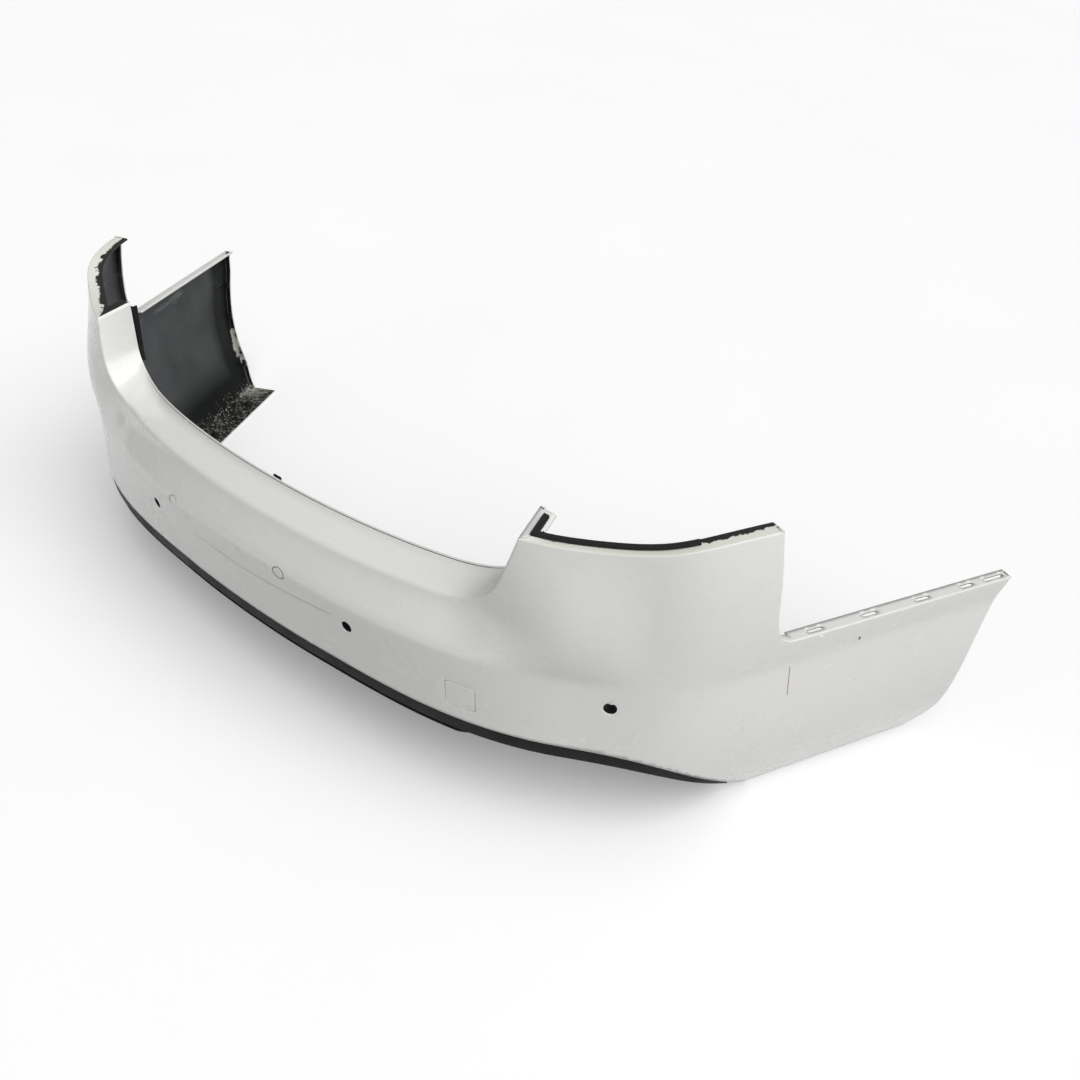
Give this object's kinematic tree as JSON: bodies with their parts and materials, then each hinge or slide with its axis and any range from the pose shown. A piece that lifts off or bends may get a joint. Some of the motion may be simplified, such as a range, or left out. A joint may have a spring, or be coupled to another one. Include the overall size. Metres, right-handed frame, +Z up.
{
  "type": "rear bumper cover",
  "caption": "Painted rear bumper cover of a saloon car: wrap-round shell with lamp recesses, black lower valance, sensor holes and a swing-out towing eye cover.",
  "frame": {"origin": "on the ground under the middle of the part's bounding box", "axes": "+X across the car towards the towing eye cover's side, +Y forwards, away from the outer rear face, +Z up"},
  "size_m": [1.8562, 0.6624, 0.4891],
  "materials": {
    "paint": "glossy white paint over moulded plastic, bare grey plastic behind",
    "black_plastic": "grained black moulded plastic",
    "foam": "matt black foam strip",
    "steel": "zinc plated"
  },
  "bodies": {
    "cover_shell": {"bumper_skin": "paint", "lower_valance": "black_plastic", "valance_centre_panel": "black_plastic", "valance_clip_1": "black_plastic", "valance_clip_2": "black_plastic", "valance_clip_3": "black_plastic", "valance_clip_4": "black_plastic", "valance_clip_5": "black_plastic", "valance_clip_6": "black_plastic", "valance_clip_7": "black_plastic", "valance_clip_8": "black_plastic", "boot_flange_clip": "black_plastic", "post_bracket_left": "black_plastic", "post_bracket_right": "black_plastic", "sensor_holder_inner_left": "black_plastic", "sensor_holder_inner_right": "black_plastic", "sensor_holder_outer_left": "black_plastic", "sensor_holder_outer_right": "black_plastic", "lamp_seal_right": "foam", "centre_panel_screw_1": "steel", "centre_panel_screw_2": "steel", "centre_panel_screw_3": "steel", "centre_panel_screw_4": "steel", "arch_clip_left_1": "steel", "arch_clip_left_2": "steel", "arch_clip_left_3": "steel", "arch_clip_right_1": "steel", "arch_clip_right_2": "steel", "arch_clip_right_3": "steel", "skirt_nut_left_1": "steel", "skirt_nut_left_2": "steel", "skirt_nut_right_1": "steel", "skirt_nut_right_2": "steel"},
    "tow_cover": {"tow_eye_cover": "paint"}
  },
  "joints": [
    {"name": "tow_cover_swing", "type": "hinge", "parent": "cover_shell", "child": "tow_cover", "pos_m": [0.43077, -0.28339, 0.18201], "axis": [0.9553, 0.2957, 0], "range_deg": [0, 80]}
  ]
}
